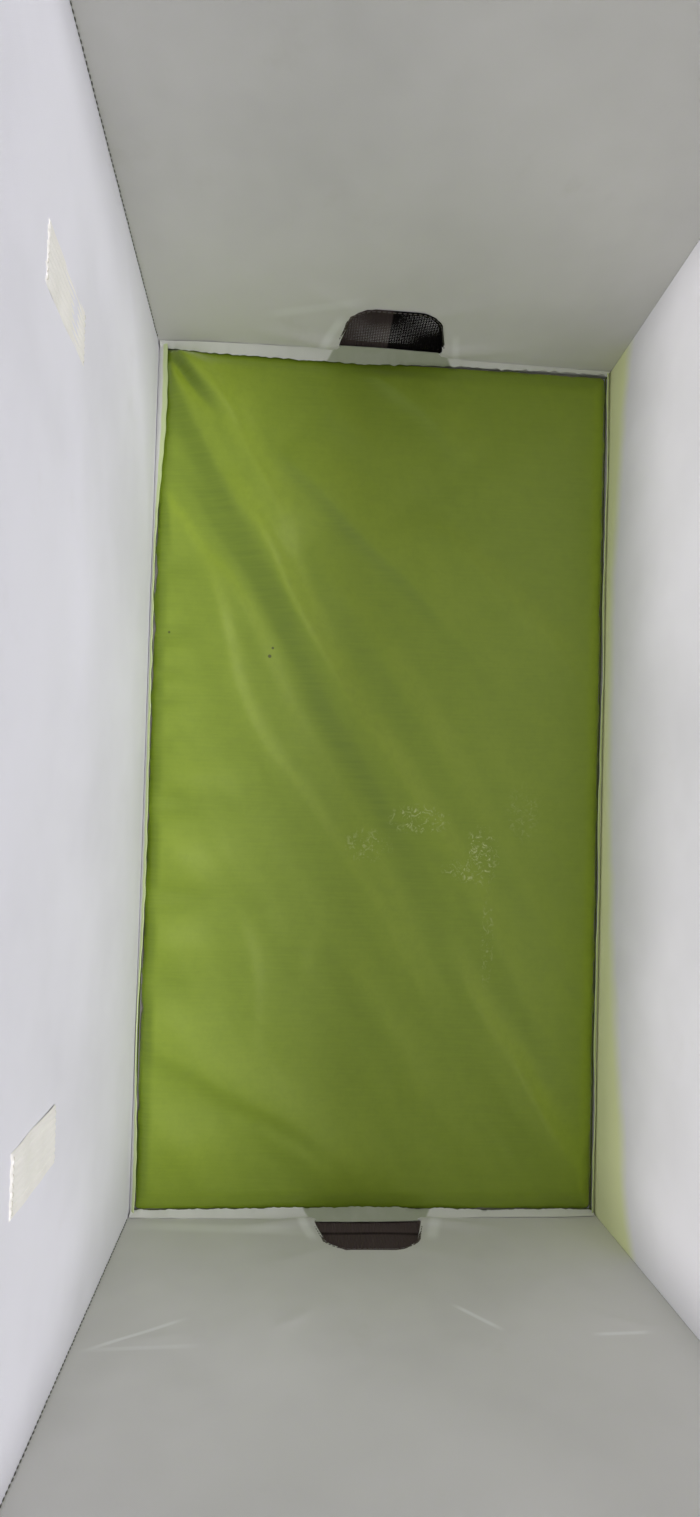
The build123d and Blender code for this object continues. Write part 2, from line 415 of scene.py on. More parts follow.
def board_finish():
    """Recycled greyboard with short fibres."""
    colour = colours().greyboard
    finish = Finish("greyboard", Roughness=0.9)
    fibre = finish.noise(320.0, 4.0, 0.7)
    shade = finish.stain(shaded(colour, 0.78), colour, fibre, 0.3, 0.7)
    shade = finish.mix(finish.noise(12.0, 3.0) * 0.25, shade, shaded(colour, 0.85))
    return finish.done(shade, None, fibre, 0.12, 0.6)


def long_hem_finish():
    """Hems of the long walls: white with a lime line along the free edge."""
    colour = colours().hem
    finish = Finish("side hem cloth", Roughness=0.75, Sheen_Weight=0.2)
    tall = high("front_hem").z - low("front_hem").z
    shade = finish.stain(
        colour, shaded(colour, 0.8), finish.noise(40.0, 4.0, 0.6), 0.4, 0.8, 0.2)
    up = finish.axes(finish.cloth(), "Y")[0]
    shade = finish.stain(shade, rgb(212, 230, 150), up, tall - 1.8 * MM, tall - 1.1 * MM, 0.8)
    return finish.done(shade, None, finish.weave(0.8), 0.1, 0.8)


def end_hem_finish():
    """Hems of the ends: white, with painted shade, greyer and greener, where they cross the vents.
    """
    colour = colours().hem
    finish = Finish("end hem cloth", Sheen_Weight=0.2)
    y, z = finish.axes(finish.place, "YZ")
    cloud = finish.noise(40.0, 4.0, 0.6)
    reach = finish.maths("ABSOLUTE", y) + (z - 18.5 * MM) * 0.5
    # painted shade on the hem where it crosses under the vent
    vent_painted_shade = 1.0 - finish.ease(reach, 38 * MM, 40 * MM)
    shade = finish.mix(vent_painted_shade * 0.85, colour, rgb(166, 173, 146))
    shade = finish.stain(shade, shaded(colour, 0.8), cloud, 0.45, 0.8, 0.25)
    height = finish.weave(0.8) * 0.6 + finish.noise(800.0) * 0.4
    return finish.done(shade, cloud * 0.2 + 0.65, height, 0.1, 0.8)


def net_finish():
    """Dark net, its light and shade painted: lighter at the front of the left vent and near black
    at its back; the right one lighter, with a dark line across and a paler top.
    """
    colour = colours().net
    painted_shade, pale = shaded(colour, 0.08), shaded(colour, 2.4)
    finish = Finish("dark net", Roughness=0.85, Specular_IOR_Level=0.05)
    x, y, z = finish.axes(finish.place, "XYZ")
    right = finish.ease(x, -0.01, 0.01)
    left = 1.0 - right
    back = finish.ease(y, -3.0 * MM, -1.5 * MM)
    cloud = finish.ease(finish.noise(34.0, 3.0, 0.6), 0.35, 0.75)
    # painted light over the front half of the left vent's net, then painted near-black shade over
    # its back half
    shade = finish.mix((1.0 - back) * left * (1.0 - cloud * 0.6), colour, pale)
    shade = finish.mix(back * left, shade, painted_shade)
    # the right vent's net painted lighter all over, with a painted dark line across it and painted
    # light along its top
    shade = finish.mix(right, shade, shaded(colour, 3.2))
    crease = 1.0 - finish.ease(finish.maths("ABSOLUTE", z - 0.034 - y * 0.03), 0.8 * MM, 2.6 * MM)
    shade = finish.mix(crease * right * 0.7, shade, painted_shade)
    shade = finish.stain(shade, pale, z, 0.034, 0.038, right * 0.5)
    return finish.done(shade, None, finish.weave(0.8), 0.05, 0.4)


# How the usual material of each slot is made, and the materials made so far.
MAKERS = {
    "greyboard": board_finish,
    "base_cloth": base_finish,
    "white_lining": lambda: lining_finish("white lining", colours().lining),
    "lime_cloth": cover_finish,
    "lime_tape": lambda: plain_cloth("lime tape", colours().tape, 0.5),
    "cream_tape": lambda: plain_cloth("cream ribbed tape", colours().cream, soiled=0.9),
    "dark_net": net_finish,
}
FINISHES = {}


def finish_named(key, make=None):
    """One material for all the pieces that share it."""
    if key not in FINISHES:
        FINISHES[key] = (make or MAKERS[key])()
    return FINISHES[key]


# ---------------------------------------------------------------- making pieces
def mesh_of(name, bm):
    """Turns a bmesh into a mesh."""
    mesh = bpy.data.meshes.new(name)
    bm.to_mesh(mesh)
    bm.free()
    return mesh


def put(name, data):
    """Puts a mesh, a lamp or a camera in the scene."""
    made = bpy.data.objects.new(name, data)
    bpy.context.scene.collection.objects.link(made)
    return made


def add_piece(name, bm, body, slot, nodes=(), material=None):
    """Turns a bmesh into a finished piece that rides on a body."""
    mesh = mesh_of(name, bm)
    mesh.polygons.foreach_set("use_smooth", [True] * len(mesh.polygons))
    mesh.materials.append(material or finish_named(slot))
    piece = put(name, mesh)
    if body:
        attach(piece, body)
    if nodes:
        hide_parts(*nodes)
    return piece


def modify(piece, kind, **settings):
    modifier = piece.modifiers.new(kind.title(), kind)
    for key, value in settings.items():
        setattr(modifier, key, value)


def settle(piece):
    """Applies a piece's modifiers."""
    depsgraph = bpy.context.evaluated_depsgraph_get()
    made = bpy.data.meshes.new_from_object(piece.evaluated_get(depsgraph))
    old = piece.data
    piece.modifiers.clear()
    piece.data = made
    made.name = old.name
    bpy.data.meshes.remove(old)


def thicken(piece, thickness, even=True):
    """Gives a cloth its thickness, behind its visible face, with crisp cut edges."""
    modify(piece, "SOLIDIFY", thickness=thickness, offset=-1.0, use_even_offset=even)
    settle(piece)
    piece.data.set_sharp_from_angle(angle=CRISP)


def waves(u, v, length, seed):
    """Smooth drift between about -1 and 1: seven waves of about that length."""
    count = 7
    dice = random.Random(seed)
    total = np.zeros_like(u)
    for _ in range(count):
        angle = dice.uniform(0, 2 * math.pi)
        turn = 2 * math.pi / (length * dice.uniform(0.6, 1.6))
        total += np.sin((u * math.cos(angle) + v * math.sin(angle)) * turn
                        + dice.uniform(0, 2 * math.pi))
    return total / math.sqrt(count)


def smooth(value, start, end):
    t = np.clip((value - start) / (end - start), 0, 1)
    return t * t * (3 - 2 * t)


def edge_gap(u, v, width, height):
    """How far inside a cloth's nearest edge a point lies."""
    return np.minimum(np.minimum(u, width - u), np.minimum(v, height - v))


def calm_edges(u, v, width, height, margin, flat=0.0):
    """1 over the middle of a cloth, easing to 0 at its edges, or that far inside them."""
    return smooth(edge_gap(u, v, width, height), flat, margin)


def swell(u, v, length, seed, ease):
    """Slack of a cloth off its board: broad waves between 0 and about ease."""
    return (waves(u, v, length, seed) + 1) * 0.5 * ease


def ridge(u, v, path, near, far, height):
    """Fold along a path of (u, v, strength) points, its sizes in mm: a crest whose left
    flank, seen along the path, has the half width near and whose right flank has far."""
    path = [(a * MM, b * MM, strength) for a, b, strength in path]
    for _ in range(2):
        cut = [path[0]]
        for first, second in zip(path, path[1:]):
            for share in (0.25, 0.75):
                cut.append(tuple(a + (b - a) * share for a, b in zip(first, second)))
        path = cut + [path[-1]]
    best = np.full(u.shape, 1e9)
    out = np.zeros_like(u)
    for (u0, v0, s0), (u1, v1, s1) in zip(path, path[1:]):
        du, dv = u1 - u0, v1 - v0
        run = math.hypot(du, dv)
        t = np.clip(((u - u0) * du + (v - v0) * dv) / run**2, 0, 1)
        pu, pv = u - (u0 + t * du), v - (v0 + t * dv)
        gap = np.hypot(pu, pv)
        width = np.where(du * pv - dv * pu > 0, near * MM, far * MM)
        value = (s0 + (s1 - s0) * t) * np.exp(-((gap / width) ** 2))
        closer = gap < best
        best = np.where(closer, gap, best)
        out = np.where(closer, value, out)
    return out * height * MM


def lay_cloth(corner, along, up, cell, shape):
    """A cloth's visible face: a grid from its corner, divided into cells, with a map of
    its own coordinates. shape(u, v) gives its shift along, up and out of the face."""
    corner, along, up = Vector(corner), Vector(along), Vector(up)
    width, height = along.length, up.length
    along.normalize()
    up.normalize()
    out = along.cross(up)
    bm = bmesh.new()
    uv_layer = bm.loops.layers.uv.new("cloth")
    bmesh.ops.create_grid(
        bm, x_segments=max(1, round(width / cell)), y_segments=max(1, round(height / cell)),
        size=0.5,
    )
    flat = np.array([vert.co[:2] for vert in bm.verts])
    flat = (flat - flat.min(0)) / (flat.max(0) - flat.min(0))
    u, v = flat[:, 0] * width, flat[:, 1] * height
    for face in bm.faces:
        for loop in face.loops:
            loop[uv_layer].uv = (u[loop.vert.index], v[loop.vert.index])
    du, dv, dw = shape(u, v)
    co = np.array(corner) + np.outer(u + du, along) + np.outer(v + dv, up) + np.outer(dw, out)
    for vert, place in zip(bm.verts, co):
        vert.co = place
    return bm


def sew(name, node, body, slot, place, shape, cell, thickness, even=True,
        material=None, vent=0, flat=None):
    """A thick cloth in place of a node. place is its corner, its run and its rise; vent
    is the side of the chest, -1 or 1, whose vent goes through it."""
    piece = add_piece(name, lay_cloth(*place, cell, shape), body, slot, [node], material)
    thicken(piece, thickness, even)
    if vent:
        cut_vent(piece, vent)
    flat = flat or [math.hypot(*side) for side in place[1:]]


def stitches(name, rows, body, colour=None):
    """Rows of single stitches. A row is (points, outward direction of the face)."""
    size = sizes()
    thread = f"{name} thread" if colour else "lime thread"
    material = finish_named(thread, lambda: thread_finish(thread, colour or colours().thread))
    bm, one = bmesh.new(), bmesh.new()
    lying = Matrix.Rotation(math.pi / 2, 4, "Y")
    bmesh.ops.create_uvsphere(one, u_segments=6, v_segments=4, radius=1.0, matrix=lying)
    single = mesh_of("stitch", one)
    dice = random.Random(name)
    radius, wander, twist = size.stitch_thread / 2, 0.15 * MM, 0.08
    for points, face in rows:
        row = bmesh.new()
        points, face = [Vector(point) for point in points], Vector(face).normalized()
        total = sum((b - a).length for a, b in zip(points, points[1:]))
        count = max(1, round(total / size.stitch_pitch))
        wanted = [(index + 0.5) * total / count for index in range(count)]
        gone = 0.0
        for start, end in zip(points, points[1:]):
            along = (end - start).normalized()
            side = face.cross(along)
            reach = (end - start).length
            while wanted and wanted[0] <= gone + reach:
                middle = start + along * (wanted.pop(0) - gone)
                middle += face * radius * 0.5 + side * dice.uniform(-wander, wander)
                turn = Matrix((along, side, face)).transposed().to_4x4()
                turn @= Matrix.Rotation(dice.uniform(-twist, twist), 4, "Z")
                turn @= Matrix.Diagonal((size.stitch_length / 2, radius, radius, 1))
                row.from_mesh(single)
                for vert in row.verts[-len(single.vertices):]:
                    vert.co = Matrix.Translation(middle) @ turn @ vert.co
            gone += reach
        mesh = mesh_of("row", row)
        bm.from_mesh(mesh)
        bpy.data.meshes.remove(mesh)
    bpy.data.meshes.remove(single)
    add_piece(name, bm, body, "white_lining" if colour else "lime_tape", material=material)


def new_verts(made):
    """The verts in what a bmesh operator made."""
    return [item for item in made if isinstance(item, bmesh.types.BMVert)]


def close_band(outlines):
    """A closed band of cloth swept through a row of closed outlines, back to the first."""
    bm = bmesh.new()
    ring = bmesh.ops.create_circle(bm, cap_ends=False, segments=len(outlines[0]), radius=1.0)
    ring = ring["verts"]
    for vert, place in zip(ring, outlines[0]):
        vert.co = place
    edges = bm.edges[:]
    for outline in [*outlines[1:], outlines[0]]:
        order = {tuple(vert.co): index for index, vert in enumerate(ring)}
        made = bmesh.ops.extrude_edge_only(bm, edges=edges)["geom"]
        edges = [item for item in made if isinstance(item, bmesh.types.BMEdge)]
        new = new_verts(made)
        ring = sorted(new, key=lambda vert: order[tuple(vert.co)])
        for vert, place in zip(ring, outline):
            vert.co = place
        edges = [edge for edge in edges if edge.verts[0] in new and edge.verts[1] in new]
    bmesh.ops.remove_doubles(bm, verts=bm.verts, dist=0.001 * MM)
    bmesh.ops.recalc_face_normals(bm, faces=bm.faces)
    return bm


def ring_edges(bm, ring):
    """The edges between a cord's ring of verts."""
    return [e for e in bm.edges if e.verts[0] in ring and e.verts[1] in ring]


def run_cord(bm, ring, shift):
    """Extrudes a cord's open ring along a straight run; returns the new ring's verts."""
    shift = Vector(shift)
    count = round(shift.length / CORD_STEP)
    for _ in range(count):
        made = bmesh.ops.extrude_edge_only(bm, edges=ring_edges(bm, ring))["geom"]
        ring = set(new_verts(made))
        bmesh.ops.translate(bm, vec=shift / count, verts=list(ring))
    return ring


def turn_cord(bm, ring, centre):
    """Spins a cord's open ring round a square corner; returns the new ring's verts."""
    made = bmesh.ops.spin(
        bm, geom=ring_edges(bm, ring), cent=centre, axis=(0, -1, 0), dvec=(0, 0, 0),
        angle=math.pi / 2, steps=8, use_duplicate=False,
    )
    return set(new_verts(made["geom_last"]))


def straight_cord(name, start, end, radius, nodes=()):
    """A cloth-covered cord along a straight seam, a little uneven."""
    start, end = Vector(start), Vector(end)
    run = end - start
    turn = run.to_track_quat("Z", "Y").to_matrix().to_4x4()
    bm = bmesh.new()
    bmesh.ops.create_cone(
        bm, cap_ends=True, segments=16, radius1=radius, radius2=radius, depth=run.length,
        matrix=Matrix.Translation((start + end) / 2) @ turn,
    )
    sides = [e for e in bm.edges if e.calc_length() > run.length * 0.9]
    bmesh.ops.subdivide_edges(bm, edges=sides, cuts=round(run.length / CORD_STEP))
    dice, uneven = random.Random(name), 0.12 * MM
    bend_x, bend_y = dice.uniform(0, 6.28), dice.uniform(0, 6.28)
    for vert in bm.verts:
        reach = (vert.co - start).length
        vert.co.x += uneven * math.sin(reach * 90 + bend_x)
        vert.co.y += uneven * math.sin(reach * 110 + bend_y)
    add_piece(name, bm, "chest", "lime_tape", nodes)


# ---------------------------------------------------------------- the vents' shape
def vent_face(grown=0.0, x=0.0):
    """The D-shaped vent as one face across X, its outline grown by that much."""
    bm = bmesh.new()
    sill, head = VENT_HIGH.y - VENT_LOW.y, VENT_HEAD
    foot, top = VENT_LOW.z, VENT_HIGH.z
    slope = math.atan2(top - foot, (sill - head) / 2)
    low_shift = grown / math.tan(slope / 2)
    top_shift = grown / math.tan((math.pi - slope) / 2)
    corners = [bm.verts.new((x, y, z)) for y, z in (
        (-sill / 2 - low_shift, foot - grown), (sill / 2 + low_shift, foot - grown),
        (head / 2 + top_shift, top + grown), (-head / 2 - top_shift, top + grown),
    )]
    bm.faces.new(corners)
    for pair, radius, angle in (
        (corners[:2], VENT_SILL_ROUND + grown, slope),
        (corners[2:], VENT_HEAD_ROUND + grown, math.pi - slope),
    ):
        bmesh.ops.bevel(
            bm, geom=pair, offset=radius / math.tan(angle / 2), affect="VERTICES", segments=8,
            profile=0.5, material=-1,
        )
    return bm


def vent_ring(grown, x):
    """Points round the vent's outline, closed."""
    bm = vent_face(grown, x)
    bm.faces.ensure_lookup_table()
    points = [vert.co.copy() for vert in bm.faces[0].verts]
    bm.free()
    return [*points, points[0]]


def cut_vent(piece, side):
    """Cuts the vent through a cloth on one end of the chest, side -1 or 1."""
    reach = 30 * MM
    bm = vent_face(x=side * INNER_X - reach)
    moved = bmesh.ops.extrude_face_region(bm, geom=bm.faces[:])["geom"]
    bmesh.ops.translate(bm, vec=(2 * reach, 0, 0), verts=new_verts(moved))
    bmesh.ops.recalc_face_normals(bm, faces=bm.faces)
    mesh = mesh_of("cutter", bm)
    cutter = put("cutter", mesh)
    modify(piece, "BOOLEAN", operation="DIFFERENCE", object=cutter, solver="EXACT")
    settle(piece)
    piece.data.set_sharp_from_angle(angle=CRISP)
    bpy.data.objects.remove(cutter)
    bpy.data.meshes.remove(mesh)


# ---------------------------------------------------------------- the base panel
# Folds of the base cloth, in mm from its front left corner: a path of (along Y, along
# X, strength) points, its front flank, its back flank and its height.
FOLDS = (
    # the broad slope out of the front left corner
    (((6, 2, 0.9), (14, 24, 1), (30, 60, 1), (52, 100, 0.8), (74, 128, 0.4), (90, 150, 0)),
     10, 40, 5.6),
    # the bright crest that crosses it
    (((20, 4, 0.5), (40, 36, 1), (62, 76, 1), (82, 108, 1), (92, 142, 0.8), (106, 182, 0.6),
      (124, 206, 0)), 16, 7, 2.4),
    # the long fold it runs into
    (((44, 88, 0), (62, 112, 0.7), (81, 146, 1), (98, 186, 1), (118, 218, 0.9), (148, 264, 0.8),
      (184, 312, 0.8), (219, 356, 0.7), (242, 396, 0.4), (258, 440, 0)), 18, 9, 4.6),
    # its shoulder, which ends at a sharp crease
    (((84, 70, 0.2), (104, 90, 0.8), (130, 112, 1), (166, 145, 1), (196, 178, 0.8),
      (222, 206, 0.4), (246, 232, 0)), 7, 26, 3.6),
    (((100, 130, 0), (128, 168, 1), (164, 214, 1), (200, 262, 0.8), (236, 306, 0)), 14, 10, 1.5),
    (((150, 196, 0), (180, 248, 1), (214, 300, 0.9), (250, 352, 1), (280, 404, 0.7),
      (300, 440, 0)), 13, 12, 1.6),
    # the pinch in the corner itself, and the valley under it
    (((4, 0, 1), (18, 10, 1.2), (36, 29, 1), (60, 58, 0)), 5, 10, 3.4),
    (((0, 1, 1), (8, 9, 1.3), (18, 21, 1), (30, 37, 0.4), (44, 56, 0)), 4, 3, -4.6),
    # the valley along the long fold
    (((0, 92, 1), (18, 106, 1.3), (42, 136, 1.3), (64, 164, 1.2), (84, 196, 0.9), (104, 238, 0.7),
      (130, 286, 0.7), (156, 330, 0.7), (186, 384, 0.6), (208, 434, 0.4), (232, 486, 0)),
     8, 12, -3.4),
    # the lower fold
    (((30, 146, 0.1), (43, 180, 0.8), (51, 216, 1), (64, 252, 1), (88, 290, 0.8), (116, 328, 0.9),
      (144, 366, 0.9), (168, 400, 0.8), (190, 444, 0.6), (208, 482, 0)), 19, 6.5, 1.8),
    (((40, 120, 0), (64, 186, 0.9), (88, 236, 1), (116, 280, 0)), 9, 7, 0.5),
    # the fold to the far back corner
    (((198, 402, 0.1), (222, 442, 0.8), (246, 478, 1), (270, 515, 1), (291, 546, 1),
      (306, 574, 0.5)), 22, 9, 3.6),
    (((226, 376, 0), (248, 414, 1), (270, 456, 0.9), (292, 500, 0)), 9, 14, 1.5),
    # low folds by the back edge
    (((142, 0, 0.8), (168, 24, 1), (194, 46, 0.8), (222, 74, 0)), 8, 20, 3),
    (((100, 10, 0.4), (122, 34, 1), (146, 64, 1), (176, 100, 0)), 12, 10, 1.1),
    (((180, 104, 0), (212, 134, 0.9), (254, 174, 1), (292, 210, 0.3)), 18, 10, 2.8),
    (((216, 250, 0), (240, 284, 1), (270, 330, 0.8), (296, 376, 0)), 16, 12, 1.1),
    # short folds in the front right of the cloth
    (((10, 490, 0.8), (50, 508, 1), (94, 530, 1), (134, 556, 0.8), (170, 588, 0)), 10, 24, 2.8),
    (((60, 532, 0), (96, 552, 0.9), (132, 574, 0.8), (150, 588, 0.1)), 9, 8, 1.4),
    (((60, 388, 0), (74, 420, 1), (78, 456, 1), (80, 496, 0)), 14, 6, 0.8),
    (((122, 392, 0), (112, 420, 1), (100, 454, 0)), 12, 6, 1),
    (((124, 392, 0), (154, 446, 1), (184, 500, 0.9), (212, 548, 0)), 14, 10, 1.3),
)
# Puckers along the cloth's front edge, in mm: along Y, along X, half width, half length
# and height.
PUCKERS = (
    (6, 158, 12, 6, -1.6), (6, 204, 16, 7, -2), (6, 230, 12, 5, -1.6), (6, 250, 14, 6, -1.6),
    (6, 280, 10, 12, -1.2), (30, 302, 26, 10, 1.6), (8, 322, 30, 8, -3.2), (14, 356, 30, 16, 3),
    (8, 386, 40, 8, -3), (12, 415, 30, 15, 2.6), (6, 446, 20, 8, -1.6), (12, 470, 30, 12, 1.4),
    (20, 552, 34, 22, 3.2), (130, 566, 40, 20, 1.4),
)


def base_heights(px, py):
    """Height of the base cloth above its board, px from the front edge, py from the left."""
    drift = waves(px, py, 0.11, 14) * 1.1 * MM
    lift = waves(px, py, 0.16, 11) * 0.5 * MM + waves(px, py, 0.05, 12) * 0.14 * MM
    # faint wrinkles that run with the folds
    across, run = px * 0.84 - py * 0.54, px * 0.54 + py * 0.84
    band = 0.35 + 0.65 * np.exp(-(((across + 0.03) / 0.06) ** 2))
    lift = lift + waves(across, run * 0.10, 0.026, 16) * 0.20 * MM * band
    lift = lift + waves(across, run * 0.14, 0.013, 17) * 0.08 * MM * band
    for fold in FOLDS:
        lift = lift + ridge(px + drift, py - drift, *fold)
    for pucker in PUCKERS:
        cu, cv, ru, rv, height = (value * MM for value in pucker)
        lift = lift + height * np.exp(-((px - cu) / ru) ** 2 - ((py - cv) / rv) ** 2)
    lift = lift * sizes().fold_scale + 2.0 * MM
    # the cloth only rests on its board where it is pulled down
    lift = (lift + np.sqrt(lift**2 + (1.2 * MM) ** 2)) / 2
    # a pressed crease, and a pulled thread in the front left corner
    lift = lift - ridge(px, py, ((74, 351, 0.3), (105, 347, 1), (141, 343, 0.2)), 1.6, 1.6, 0.5)
    return lift - ridge(px, py, ((3, 98, 0.5), (6, 125, 1), (10, 150, 0.3)), 1.2, 1.2, 0.6)


class CHEST_OT_base_panel(bpy.types.Operator):
    """Satin cloth over the loose base panel, with its folds, and the backing under it"""

    bl_idname = "chest.base_panel"
    bl_label = "Base Panel"

    def execute(self, context):
        lowest, highest, (long, wide, _) = measure("base_cover")
        turn, corner, pinch = 7 * MM, 5 * MM, 30 * MM
        round_wide, round_drop, turned_tall, inset = 9 * MM, 1.3 * MM, 3.4 * MM, 1.3 * MM
        seat = highest.z + 0.15 * MM

        def shape(u, v):
            # u runs along Y and v along X, from the turned edge at the left front corner
            px, py = u - turn, v - turn
            edge = edge_gap(px, py, wide, long)
            # the folds run out before the edges, later in the pinched corner
            pinched = np.exp(-((np.hypot(px, py) / pinch) ** 2))
            fade_from, fade_to = (4.2 * pinched - 2) * MM, (11 - 3 * pinched) * MM
            height = base_heights(px, py) * smooth(edge, fade_from, fade_to)
            low_end = 0.25 + 0.75 * smooth(np.minimum(py, long - py), 4 * MM, 15 * MM)
            height *= low_end + (1 - low_end) * pinched
            # rounded over the board's edge, then turned down
            rounding = 1 - np.clip(edge / round_wide, 0, 1)
            height -= rounding**2.2 * round_drop + np.clip(-edge, 0, turned_tall) * 0.86
            # the turned edge runs a little unevenly, inside the board's
            ripple = waves(px, py, 0.034, 13) * 0.7 * MM + waves(px, py, 0.011, 15) * 0.35 * MM
            line = inset + np.clip(ripple, -1.1 * MM, 1.6 * MM)
            x, y = np.clip(px, line, wide - line), np.clip(py, line, long - line)
            # rounded corners
            ex = np.maximum(np.maximum(corner - x, x - wide + corner), 0)
            ey = np.maximum(np.maximum(corner - y, y - long + corner), 0)
            pull = 1 - np.maximum(ex, ey) / np.maximum(np.hypot(ex, ey), 1e-9)
            pull = np.where((ex > 0) & (ey > 0), pull, 0)
            x += ex * pull * np.where(x < wide / 2, 1, -1)
            y += ey * pull * np.where(y < long / 2, 1, -1)
            return x - px, y - py, height

        # laid face down, and turned over
        wide_cut, long_cut = wide + 2 * turn, long + 2 * turn
        bm = lay_cloth((lowest.x - turn, lowest.y - turn, seat), (0, wide_cut, 0),
                       (long_cut, 0, 0), sizes().base_cell, shape)
        for vert in bm.verts:
            vert.co.z = 2 * seat - vert.co.z
        bmesh.ops.reverse_faces(bm, faces=bm.faces)
        bmesh.ops.dissolve_degenerate(bm, dist=0.05 * MM, edges=bm.edges)
        piece = add_piece("base_cloth", bm, "base_panel", "base_cloth", ["base_cover"])
        # painted highlight and shade on the satin: paler where it rises and where it faces the key
        # light at the back, darker in the valleys
        lift = piece.data.attributes.new("lift", "FLOAT", "POINT")
        z = np.array([v.co.z for v in piece.data.vertices])
        faces_key_light = np.array([v.normal.y for v in piece.data.vertices])
        pale = 0.45 + 0.25 * (z - highest.z - 1.5 * MM) / (6 * MM) + 1.5 * faces_key_light
        lift.data.foreach_set("value", np.clip(pale, 0, 1).astype(np.float32))
        thicken(piece, 0.7 * MM, even=False)

        lowest, highest, (long, wide, _) = measure("base_backing")
        sew("base_backing_cloth", "base_backing", "base_panel", "white_lining",
            ((lowest.x, highest.y, lowest.z + 0.1 * MM), (long, 0, 0), (0, -wide, 0)),
            lambda u, v: (u * 0, u * 0, waves(u, v, 0.1, 21) * 0.05 * MM - 0.05 * MM),
            cell=12 * MM, thickness=0.6 * MM, flat=(wide, long))
        return {"FINISHED"}


# ---------------------------------------------------------------- linings
def slack(width, margin, swells, folds):
    """Shape of a slack lining: a broad and a narrow swell, each a wave length and a seed,
    and folds. It lies flat at its edges and calms toward the rim."""
    (broad, seed), (narrow, other_seed) = swells

    def shape(u, v):
        calm = calm_edges(u, v, width, WALL_TALL, margin) * (1 - 0.7 * smooth(v, 0.34, 0.37))
        out = swell(u, v, broad, seed, sizes().lining_ease)
        out = out + waves(u, v, narrow, other_seed) * 0.12 * MM
        for fold in folds:
            out = out + ridge(u, v, *fold)
        return u * 0, v * 0, out * calm

    return shape


def vent_draws(middle):
    """Draw lines out of the vent's lower and upper corners, either side of the middle."""
    low_z, high_z = ((z - FLOOR_Z) / MM + 2 for z in (VENT_LOW.z, VENT_HIGH.z))
    folds = []
    for sign in (-1, 1):
        for out, v, rise, half, tall in ((41, low_z, 12, 6, 3), (30, high_z, 28, 7, 0.8)):
            u = middle + sign * out
            folds.append((((u, v, 1), (u + sign * 50, v + rise, 0.1)), half, half, tall))
    return folds


class CHEST_OT_linings(bpy.types.Operator):
    """White linings of the four walls, slack over their boards"""

    bl_idname = "chest.linings"
    bl_label = "Linings"

    def execute(self, context):
        white = colours().lining
        # painted shade: a darker, warmer copy of the white lining for the two end walls
        white_in_painted_shade = shaded(white, (0.93, 0.925, 0.83))
        seam = 0.06 * MM
        long, wide = 2 * INNER_X - 2 * seam, 2 * INNER_Y - 2 * seam
        # u runs from +X to -X on the front wall, from -X to +X on the back wall, and
        # toward the front on the right end
        mid = long / 2 / MM
        front = (
            (((mid - 60, 176, 0), (mid + 67, 186, 1), (mid + 140, 207, 1), (mid + 204, 231, 0.6)),
             20, 30, 1.3),
            (((mid + 146, 13, 0.6), (mid + 200, 40, 1), (mid + 252, 96, 0.7)), 14, 30, 1.5),
            (((20, 120, 0.3), (100, 200, 1), (160, 300, 0.2)), 16, 30, 1),
        )
        back = (
            (((50, 20, 0.6), (120, 110, 1), (180, 220, 0.3)), 20, 30, 1.2),
            (((400, 30, 0.4), (480, 120, 1), (540, 240, 0.4)), 20, 20, 1.2),
        )
        draws = vent_draws(wide / 2 / MM)
        creased = draws + [(path, 2.5, 3.5, 1.1) for path in (
            ((6, 160, 0.3), (30, 146, 1), (56, 134, 0.1)),
            ((200, 128, 0.2), (212, 140, 1), (222, 152, 0.2)),
            ((268, 152, 0.2), (286, 156, 0.8), (300, 156, 0.2)),
        )]
        # the back lining with its painted lime glow; the end linings in painted shade, with
        # painted highlights along creases
        painted_glow_lining = lining_finish("white lining with painted lime glow", white, rgb(240, 246, 182))
        right = lining_finish("right end lining", white_in_painted_shade, painted_highlights=RIGHT_PAINTED_HIGHLIGHTS)
        left = lining_finish("left end lining", white_in_painted_shade, painted_highlights=LEFT_PAINTED_HIGHLIGHTS)
        for name, end, side, swells, folds, material in (
            ("front", False, -1, ((0.22, 30), (0.07, 31)), front, None),
            ("back", False, 1, ((0.22, 32), (0.07, 33)), back, painted_glow_lining),
            ("right_end", True, 1, ((0.2, 42), (0.06, 44)), creased, right),
            ("left_end", True, -1, ((0.2, 40), (0.06, 42)), draws, left),
        ):
            width, face = (wide, INNER_X) if end else (long, INNER_Y)
            cell, margin = (END_CELL, 22 * MM) if end else (sizes().wall_cell, 30 * MM)
            sew(f"{name}_lining_cloth", f"{name}_lining", "chest", "white_lining",
                wall_place(end, side, face, width, FLOOR_Z, WALL_TALL),
                slack(width, margin, swells, folds), cell=cell, thickness=0.75 * MM,
                material=material, vent=side * end)
        x, y = INNER_X - 0.2 * MM, -INNER_Y + 0.2 * MM
        foot, top = BASE_TOP + 8 * MM, BINDING_FOOT - 2 * MM
        # the corner stitches are real; their dark grey thread is painted shade of the corner
        stitches("corner_seams", [
            (((side * x, y, foot), (side * x, y, top)), (-side, 1, 0)) for side in (-1, 1)
        ], "chest", rgb(104, 105, 98))
        return {"FINISHED"}


